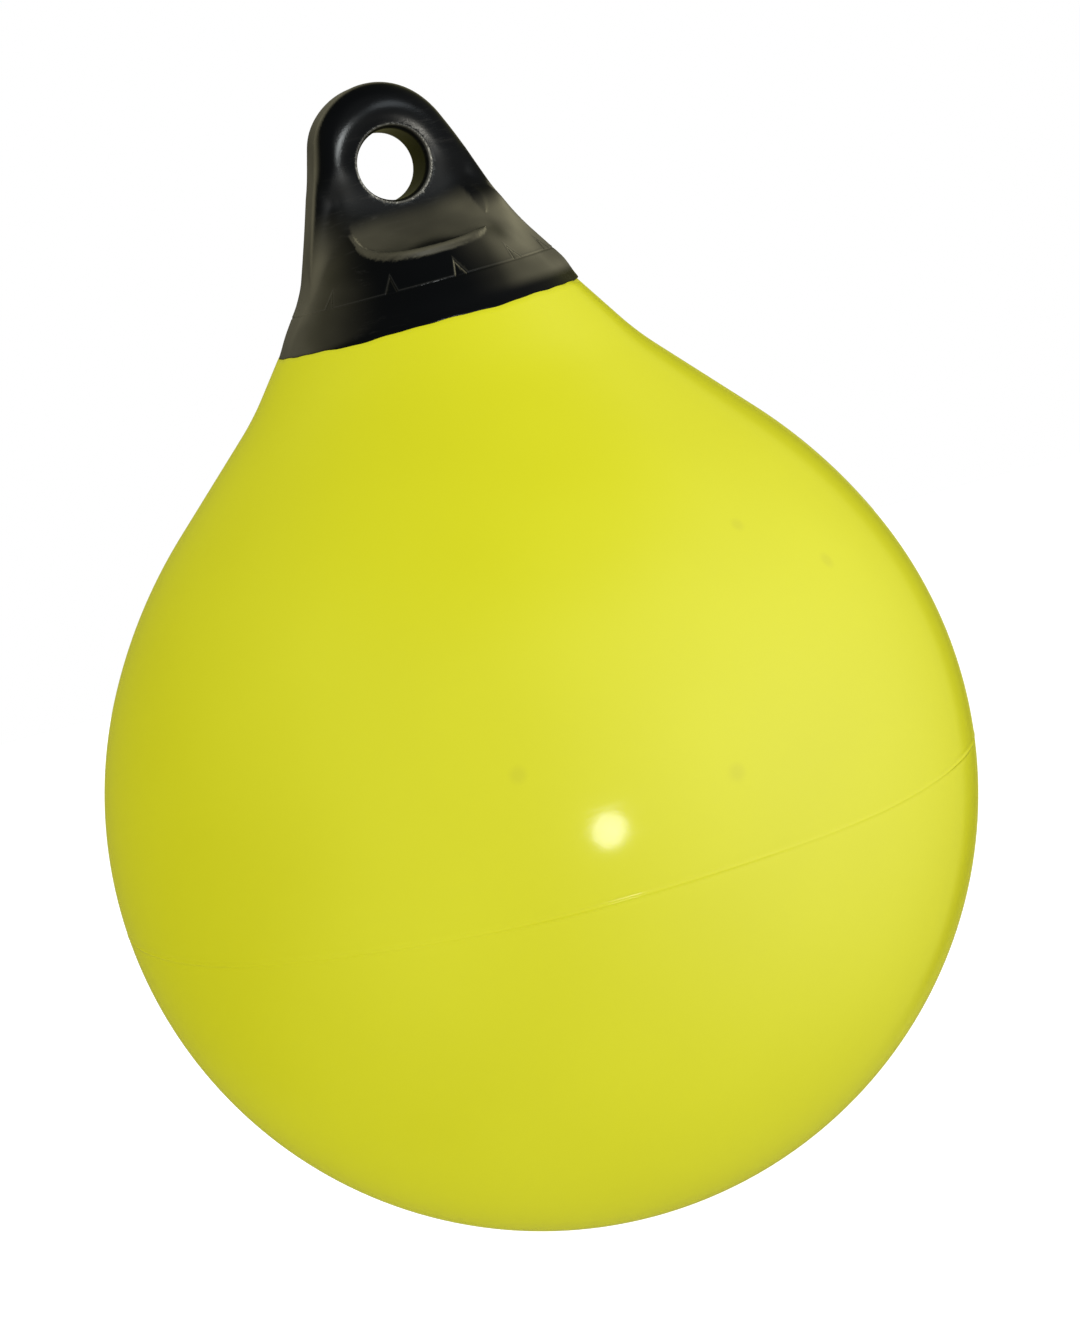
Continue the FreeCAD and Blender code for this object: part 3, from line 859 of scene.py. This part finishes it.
# Where light and shade are painted on the rope end, and where its vinyl is dull, by places in millimetres
paintedLightAndDull = {
    "line": 0.03,    # the witness line's ridge gets a faint painted highlight
    "lineSharp": 2.2,
    "rimWide": 0.26,    # the eye's rim a stronger painted highlight, though fainter at its top
    "rimDepth": 8.0,
    "rimTopLess": 0.7,
    "rimTopSpan": (-2.0, 11.0),
    "floor": 0.26,    # painted light on the scoops' floors, which face upwards, stronger on the right
    "floorRight": 0.5,
    "floorRightSpan": (0.0, 20.0),
    "floorThick": 4.0,
    "floorTop": (-13.5, -22.0),
    "floorTopRise": 0.2,    # this top edge rises on the right
    "floorTopFrom": 8.0,
    "floorTopWide": 12.0,
    "floorInside": (0.6, -0.8),
    "crease": 0.9,    # a painted shade in the crease above the lip, wide in the middle
    "creaseAt": 0.7,
    "creaseWide": 0.5,
    "creaseSwell": 4.0,
    "creaseHalf": 9.0,
    "creaseSpan": (22.0, 14.0),
    # a painted highlight on the upward side of each lip
    "lip": 0.30,
    "lipNear": (0.1, 0.7),
    "lipUpward": (-0.5, 0.3),
    "lipFrom": -24.0,
    # painted light on the right side, where it faces the light
    "right": 0.3,
    "rightSpan": (14.0, 24.0),
    "rightFacing": 1.1,
    "rightFull": 0.8,
    "rightSharp": 2.2,
    "rightTop": (-15.5, -24.0),
    "rightLowLess": 0.4,
    "rightLow": (-34.0, -44.0),
    "dentShade": 0.65,    # a painted shade of a shallow dent in it
    "dentShadeAt": (24.0, -30.5),
    "dentShadeSize": 22.0,
    "leftFrom": 30.0,    # painted sheen on the left starts this many degrees round from the front
    "leftFull": 54.0,
    "leftMost": 1.1,
    "leftSharp": 2.4,
    "leftSharpSpan": (-38.0, -30.0),
    "leftTop": (-8.0, -34.0),
    "edgeFacing": (0.62, 0.22),    # painted sheen on the lug's rounded edge, where it turns away from the front
    "edgeTop": (-16.0, -8.0),
    "edgeSides": (26.0, 31.0),
    "edgeLow": (-40.0, -26.0),
    "edgeEye": 14.5,
    "edgeDepth": (13.0, 10.0),
    "skirtOnly": -34.0,
    "strip": 5.5,    # the painted light is kept off the skirt's lowest strip, apart from its left part, so that it reads as a dark shaded band
    "stripLeft": (-0.45, -0.90),
    "stripStart": (0.7, 1.0),    # the grey starts at this part of it, and this much lower
    "stripAbove": 1.5,
    "dullTop": (4.0, -4.0),    # the lug under the eye
    "dullLow": (-30.0, -20.0),
    "dullFrom": 14.0,
    "eyeWall": 12.98,
}


def floorPaintedLight(points, normals):
    # painted light on both scoops' floors and the tops of their lips, with painted shade in the crease above
    # each lip
    x, z = points[:, 0], points[:, 2]
    depth, around = np.abs(points[:, 1]), np.hypot(x, points[:, 1])
    top = z - paintedLightAndDull["floorTopRise"] * np.clip(x - paintedLightAndDull["floorTopFrom"], 0, paintedLightAndDull["floorTopWide"])
    floor = paintedLightAndDull["floor"] * (1 + paintedLightAndDull["floorRight"] * easeBetween(*paintedLightAndDull["floorRightSpan"], x))
    floor = floor * bell(apronDepth(depth, z), paintedLightAndDull["floorThick"]) * easeBetween(*paintedLightAndDull["floorTop"], top)
    floor = floor * easeBetween(*paintedLightAndDull["floorInside"], around - neckConeRadius(z))
    fromLip = np.minimum(lipDistance(points, 1), lipDistance(points, -1))
    # painted shade in the crease above each lip
    swell = paintedLightAndDull["creaseSwell"] * bell(x, paintedLightAndDull["creaseHalf"])
    crease = bell(fromLip - paintedLightAndDull["creaseAt"] - swell, paintedLightAndDull["creaseWide"] + swell)
    floor = floor * (1 - paintedLightAndDull["crease"] * crease * easeBetween(*paintedLightAndDull["creaseSpan"], np.abs(x)))
    lip = paintedLightAndDull["lip"] * (1 - easeBetween(*paintedLightAndDull["lipNear"], fromLip)) * (x > paintedLightAndDull["lipFrom"])
    return np.maximum(floor, lip * easeBetween(*paintedLightAndDull["lipUpward"], normals[:, 2]))


def rightPaintedLight(points, normals):
    # painted light on the right side of the skirt and the lug's flank, strongest where they face right, with
    # a painted dent shade in it
    x, z = points[:, 0], points[:, 2]
    facing = np.clip(normals[:, 0] / paintedLightAndDull["rightFull"], 0, 1) ** paintedLightAndDull["rightSharp"]
    right = paintedLightAndDull["right"] * easeBetween(*paintedLightAndDull["rightSpan"], x) + paintedLightAndDull["rightFacing"] * facing
    right = right * easeBetween(*paintedLightAndDull["rightTop"], z)
    right = right * (1 - paintedLightAndDull["rightLowLess"] * easeBetween(*paintedLightAndDull["rightLow"], z))
    return right * (1 - paintedLightAndDull["dentShade"] * spotAt(x, z, paintedLightAndDull["dentShadeAt"], paintedLightAndDull["dentShadeSize"]))


def leftPaintedSheen(points):
    # painted sheen on the left side of the skirt, growing as it turns away from the front
    z = points[:, 2]
    side = np.degrees(np.arctan2(-points[:, 0], np.abs(points[:, 1])))
    left = np.clip((side - paintedLightAndDull["leftFrom"]) / paintedLightAndDull["leftFull"], 0, paintedLightAndDull["leftMost"])
    sharp = paintedLightAndDull["leftSharp"] + easeBetween(*paintedLightAndDull["leftSharpSpan"], z)
    return left ** sharp * easeBetween(*paintedLightAndDull["leftTop"], z)


def edgePaintedSheen(points, normals):
    # painted sheen on the rounded edge of the lug, over its top and down its sides, where it turns away from
    # the front
    x, z = points[:, 0], points[:, 2]
    depth, eye = np.abs(points[:, 1]), np.hypot(x, z)
    sides = easeBetween(*paintedLightAndDull["edgeSides"], np.abs(x)) * easeBetween(*paintedLightAndDull["edgeLow"], z)
    onLug = np.maximum(easeBetween(*paintedLightAndDull["edgeTop"], z), sides) * (eye > paintedLightAndDull["edgeEye"])
    onLug = onLug * easeBetween(*paintedLightAndDull["edgeDepth"], depth)
    return onLug * easeBetween(*paintedLightAndDull["edgeFacing"], np.abs(normals[:, 1]))


def markPaintedLightAndDull(mesh, points, normals):
    # masks for the finish: painted highlights on thin ridges, painted light and sheen, and where the vinyl
    # has lost its gloss
    x, z = points[:, 0], points[:, 2]
    depth, around, eye = np.abs(points[:, 1]), np.hypot(x, points[:, 1]), np.hypot(x, z)
    outside = around > neckConeRadius(z, ropeEnd["skinDepth"])
    # painted highlights: a thin line round the eye's rim and along the witness line's ridge
    rim = bell(eye - ropeEnd["rimRadius"], paintedLightAndDull["rimWide"]) * (depth > paintedLightAndDull["rimDepth"])
    rim = rim * (1 - paintedLightAndDull["rimTopLess"] * easeBetween(*paintedLightAndDull["rimTopSpan"], z))
    scuffAndPaintedHighlight = paintedLightAndDull["line"] * lineShape(toothField(points))[0] ** paintedLightAndDull["lineSharp"] * outside + rim
    paintedLight = np.maximum(floorPaintedLight(points, normals), rightPaintedLight(points, normals))
    paintedLight = np.maximum(paintedLight, np.maximum(leftPaintedSheen(points), edgePaintedSheen(points, normals)))
    paintedLight = paintedLight * (outside | (z > paintedLightAndDull["skirtOnly"]))
    # no painted light on the lowest strip of the skirt, which stays dark as a shaded band
    strip = paintedLightAndDull["strip"] * (1 - easeBetween(*paintedLightAndDull["stripLeft"], x / np.maximum(around, 1.0)))
    part, lower = paintedLightAndDull["stripStart"]
    paintedLight = paintedLight * easeBetween(part * strip - lower, strip + paintedLightAndDull["stripAbove"], z + place["edgeDrop"])
    underEye = easeBetween(*paintedLightAndDull["dullTop"], z) * easeBetween(*paintedLightAndDull["dullLow"], z)
    underEye = underEye * (eye > paintedLightAndDull["dullFrom"])
    dull = np.maximum(underEye, eye < paintedLightAndDull["eyeWall"])
    for name, values in (("scuffAndPaintedHighlight", scuffAndPaintedHighlight), ("paintedLight", paintedLight), ("dull", dull)):
        mask = mesh.attributes.new(name, "FLOAT", "POINT")
        mask.data.foreach_set("value", np.clip(values, 0, 1).astype(np.float32))


# Where the rope end's mesh is made finer: how near a face or edge has to be, in millimetres
fineMesh = {
    "byLine": 1.6,
    "belowTeeth": 0.6,
    "aboveTeeth": 1.2,
    "besideTeeth": 0.8,
    "cuts": 3,
    "byEdge": (1.1, 1.2),    # upwards and inwards
    "byRim": 1.1,
    "rimDepth": 7.2,
}


def cutLines(mesh):
    # extra rows of edges along the witness line and its teeth, and finer faces by the eye's rims and the edge
    shape = bmesh.new()
    shape.from_mesh(mesh)
    level, tall = -ropeEnd["lineDrop"] * mm, ropeEnd["toothHigh"] * mm
    rows = [row * mm for row in ropeEnd["lineRows"]]
    outside = [face for face in shape.faces if isOutside(face)]
    byLine = fineMesh["byLine"] * mm
    band = [face for face in outside if abs(face.calc_center_median().z - level) < byLine]
    cutRows(shape, band, Vector((0, 0, level)), Vector((0, 0, -1)), rows)
    low, high = -fineMesh["belowTeeth"] * mm, tall + fineMesh["aboveTeeth"] * mm
    zone = [face for face in shape.faces if low < face.calc_center_median().z - level < high]
    zone = [face for face in zone if isOutside(face)]
    for tooth in ropeEnd["toothTurns"]:
        angle = radians(tooth)
        radial = Vector((sin(angle), -cos(angle), 0))
        sideways = Vector((cos(angle), sin(angle), 0))
        apex = Vector((0, 0, level + tall))
        for side in (-1, 1):
            along = sideways * side * ropeEnd["toothHalf"] - Vector((0, 0, ropeEnd["toothHigh"]))
            inward = radial.cross(along).normalized() * side
            near = [face for face in zone if face.is_valid and byTooth(face, radial, sideways)]
            zone += cutRows(shape, near, apex, inward, rows)
    fine = [edge for edge in shape.edges if all(onRim(end.co) or onEdge(end.co) for end in edge.verts)]
    bmesh.ops.subdivide_edges(shape, edges=fine, cuts=fineMesh["cuts"], use_grid_fill=True)
    bmesh.ops.triangulate(shape, faces=[face for face in shape.faces if len(face.verts) > 4])
    shape.to_mesh(mesh)
    shape.free()


def cutRows(shape, faces, point, normal, rows):
    # cuts the faces by planes set apart along the normal, and gives back the faces that this makes
    whole = set(faces)
    geometry = set(faces)
    for face in faces:
        geometry.update(face.edges)
        geometry.update(face.verts)
    for row in rows:
        cut = bmesh.ops.bisect_plane(shape, geom=list(geometry), dist=1e-7, plane_co=point + normal * row,
                                     plane_no=normal)
        geometry = set(cut["geom"])
    return [face for face in geometry if isinstance(face, bmesh.types.BMFace) and face not in whole]


def isOutside(face):
    centre = face.calc_center_median() / mm
    return Vector((centre.x, centre.y)).length > neckConeRadius(centre.z, ropeEnd["skinDepth"])


def byTooth(face, radial, sideways):
    centre = face.calc_center_median()
    reach = (ropeEnd["toothHalf"] + fineMesh["besideTeeth"]) * mm
    return centre.dot(radial) > 0 and abs(centre.dot(sideways)) < reach


def onEdge(point):
    up, inwards = fineMesh["byEdge"]
    low = point.z / mm + place["edgeDrop"] < up
    return low and Vector((point.x, point.y)).length / mm > place["edgeRadius"] - inwards


def onRim(point):
    away = Vector((point.x, point.z)).length / mm
    return abs(away - ropeEnd["rimRadius"]) < fineMesh["byRim"] and abs(point.y) / mm > fineMesh["rimDepth"]


ropeEndPiece = makeRopeEnd()
ropeEndTriangles = sum(len(face.vertices) - 2 for face in ropeEndPiece.data.polygons)
print("rope end made:", ropeEndTriangles, "triangles")


# The valve keeps its solids and gets its own finishes
def plainFinish(name, colour, roughness, grain):
    material, tree, shader, coords = startMaterial(name)
    values = {"Tone size": 150.0, "Peel size": grain, "Scuff size": 300.0, "Scuff amount": 0.6}
    skin = skinNode(tree, coords, values)
    scuffAndPaintedHighlight = tuple(min(1, part * 1.25 + 0.01) for part in colour[:3]) + (1,)
    tree.links.new(colourMix(tree, skin.outputs["Scuffs"], colour, scuffAndPaintedHighlight), shader.inputs["Base Color"])
    tree.links.new(toneRange(tree, skin, roughness - 0.06, roughness + 0.06), shader.inputs["Roughness"])
    peelBump(tree, shader, skin, 0.00003, 0.5)
    return material


valveFinishes = {
    "valve_bush": plainFinish("valvePlastic", (0.55, 0.55, 0.51, 1), 0.42, 2500.0),
    "valve_screw": plainFinish("screwPlastic", (0.60, 0.60, 0.56, 1), 0.36, 2500.0),
    "valve_washer": plainFinish("washerRubber", (0.022, 0.022, 0.023, 1), 0.62, 3500.0),
}
for node, finish in valveFinishes.items():
    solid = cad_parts[node]
    solid.data.materials.clear()
    solid.data.materials.append(finish)
print("valve finished")


# The studio: a pale floor below the hanging buoy, a white backdrop and soft light from the front right.
# What the vinyl mirrors is that light, a dimmer front, an olive room behind, a dark ceiling and a doorway.
# Each way is a direction, and a span gives how closely a ray has to point that way
studio = {
    "floorDrop": 0.55,
    "floorHalf": 6.0,
    "floorWhite": 0.9,
    "floorGlow": 0.35,    # seen by the camera alone
    "level": 1.045,
    "lean": (0.36, -0.20, 0.00),    # how the even light grows towards the front right
    "keyWay": (0.690, -0.724, 0.024),
    "keySharp": 2.5,
    "keyLevel": 1.2,
    "fillWay": (0.141, -0.972, 0.186),
    "fillSpan": (-1.0, 0.78),
    "fillColour": (0.49, 0.49, 0.49, 1),
    "roomColour": (0.39, 0.38, 0.06, 1),
    "ceilingSpan": (0.65, 0.97),
    "ceilingDark": 0.45,
    "doorWay": (0.290, 0.946, -0.142),
    "doorStart": (0.76, 0.84),
    "doorEnd": (0.93, 0.97),
    "doorSide": (0.932, -0.248, 0.254),
    "doorSideSpan": (0.16, 0.34),
    "doorDark": 0.65,
}
# Lamps on the camera's side, in metres and watts
lamps = {
    "ballLamp": {"at": (-0.150, -3.200, -0.360), "size": (0.48, 0.48), "power": 5.5, "colour": (1, 1, 1)},
    "ropeEndLamp": {
        "at": (-0.170, -3.100, 0.760), "size": (0.60, 0.70), "power": 170.0, "colour": (0.95, 1, 1)},
    "ropeEndLow": {
        "at": (0.060, -3.100, -0.580), "size": (0.35, 0.45), "power": 170.0, "colour": (1, 0.97, 0.88)},
    "ropeEndSky": {
        "at": (1.050, -2.600, 1.250), "size": (0.90, 0.80), "power": 42.0, "colour": (0.85, 0.94, 1)},
}
lampAim = Vector((-0.0222, -0.1497, -0.2119))


def addFloor():
    side = studio["floorHalf"]
    z = cadBox[0][2] - studio["floorDrop"]
    mesh = bpy.data.meshes.new("floor")
    corners = [(-side, -side, z), (side, -side, z), (side, side, z), (-side, side, z)]
    mesh.from_pydata(corners, [], [(0, 1, 2, 3)])
    floor = addObject("floor", mesh)
    material, tree, shader, coords = startMaterial("floorWhite")
    white = studio["floorWhite"]
    shader.inputs["Base Color"].default_value = (white, white, white, 1)
    shader.inputs["Roughness"].default_value = 0.9
    shader.inputs["Emission Color"].default_value = (1, 1, 1, 1)
    rays = tree.nodes.new("ShaderNodeLightPath")
    glow = maths(tree, "MULTIPLY", rays.outputs["Is Camera Ray"], studio["floorGlow"])
    tree.links.new(glow, shader.inputs["Emission Strength"])
    mesh.materials.append(material)
    floor.visible_glossy = False    # the vinyl mirrors the surround alone


def towards(tree, coords, way):
    # how far a ray points the given way, from -1 to 1
    dot = addNode(tree, "ShaderNodeVectorMath", operation="DOT_PRODUCT")
    dot.inputs[1].default_value = way
    tree.links.new(coords.outputs["Generated"], dot.inputs[0])
    return dot.outputs["Value"]


def addSurround():
    world = bpy.data.worlds.new("surround")
    bpy.context.scene.world = world
    world.use_nodes = True
    tree = world.node_tree
    tree.nodes.clear()
    coords = tree.nodes.new("ShaderNodeTexCoord")
    rays = tree.nodes.new("ShaderNodeLightPath")
    key = maths(tree, "MAXIMUM", towards(tree, coords, studio["keyWay"]), 0.0)
    key = maths(tree, "MULTIPLY", maths(tree, "POWER", key, studio["keySharp"]), studio["keyLevel"])
    front = rangeMap(tree, towards(tree, coords, studio["fillWay"]), *studio["fillSpan"], 0, 1, True)
    mirrored = colourMix(tree, front, studio["roomColour"], studio["fillColour"])
    mirrored = colourMix(tree, 1.0, mirrored, grey(tree, key), "ADD")
    above = towards(tree, coords, (0, 0, 1))
    ceiling = rangeMap(tree, above, *studio["ceilingSpan"], 1, studio["ceilingDark"], True)
    mirrored = colourMix(tree, 1.0, mirrored, grey(tree, ceiling), "MULTIPLY")
    # a dark doorway behind on the right shows as the band along the ball's right edge
    behind = towards(tree, coords, studio["doorWay"])
    beside = towards(tree, coords, studio["doorSide"])
    door = maths(tree, "MULTIPLY", rangeMap(tree, behind, *studio["doorStart"], 0, 1, True),
                 rangeMap(tree, behind, *studio["doorEnd"], 1, 0, True))
    door = maths(tree, "MULTIPLY", door, rangeMap(tree, beside, *studio["doorSideSpan"], 0, 1, True))
    door = maths(tree, "MULTIPLY_ADD", door, -studio["doorDark"], 1.0)
    mirrored = colourMix(tree, 1.0, mirrored, grey(tree, door), "MULTIPLY")
    lean = towards(tree, coords, studio["lean"])
    even = maths(tree, "MULTIPLY_ADD", lean, studio["level"], studio["level"])
    colour = colourMix(tree, rays.outputs["Is Glossy Ray"], grey(tree, even), mirrored)
    seen = maths(tree, "MAXIMUM", rays.outputs["Is Camera Ray"], rays.outputs["Is Transmission Ray"])
    colour = colourMix(tree, seen, colour, (1, 1, 1, 1))
    background = tree.nodes.new("ShaderNodeBackground")
    tree.links.new(colour, background.inputs["Color"])
    output = tree.nodes.new("ShaderNodeOutputWorld")
    tree.links.new(background.outputs["Background"], output.inputs["Surface"])


def grey(tree, value):
    node = addNode(tree, "ShaderNodeCombineColor")
    for socket in node.inputs:
        tree.links.new(value, socket)
    return node.outputs["Color"]


def addLamp(name, pieces):
    # a lamp that lights the given pieces only
    values = lamps[name]
    data = bpy.data.lights.new(name, "AREA")
    data.shape = "ELLIPSE"
    data.size, data.size_y = values["size"]
    data.energy = values["power"]
    data.color = values["colour"]
    lamp = addObject(name, data)
    lamp.location = values["at"]
    lamp.rotation_euler = (lampAim - lamp.location).to_track_quat("-Z", "Y").to_euler()
    lit = bpy.data.collections.new(name + "Lights")
    for piece in pieces:
        lit.objects.link(piece)
    lamp.light_linking.receiver_collection = lit


addFloor()
addSurround()
addLamp("ballLamp", [ballPiece])
ropeEndPieces = [ropeEndPiece] + [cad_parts[node] for node in valveFinishes]
addLamp("ropeEndLamp", ropeEndPieces)
addLamp("ropeEndLow", ropeEndPieces)
addLamp("ropeEndSky", ropeEndPieces)
bpy.context.scene.view_settings.view_transform = "Standard"
print("studio set")
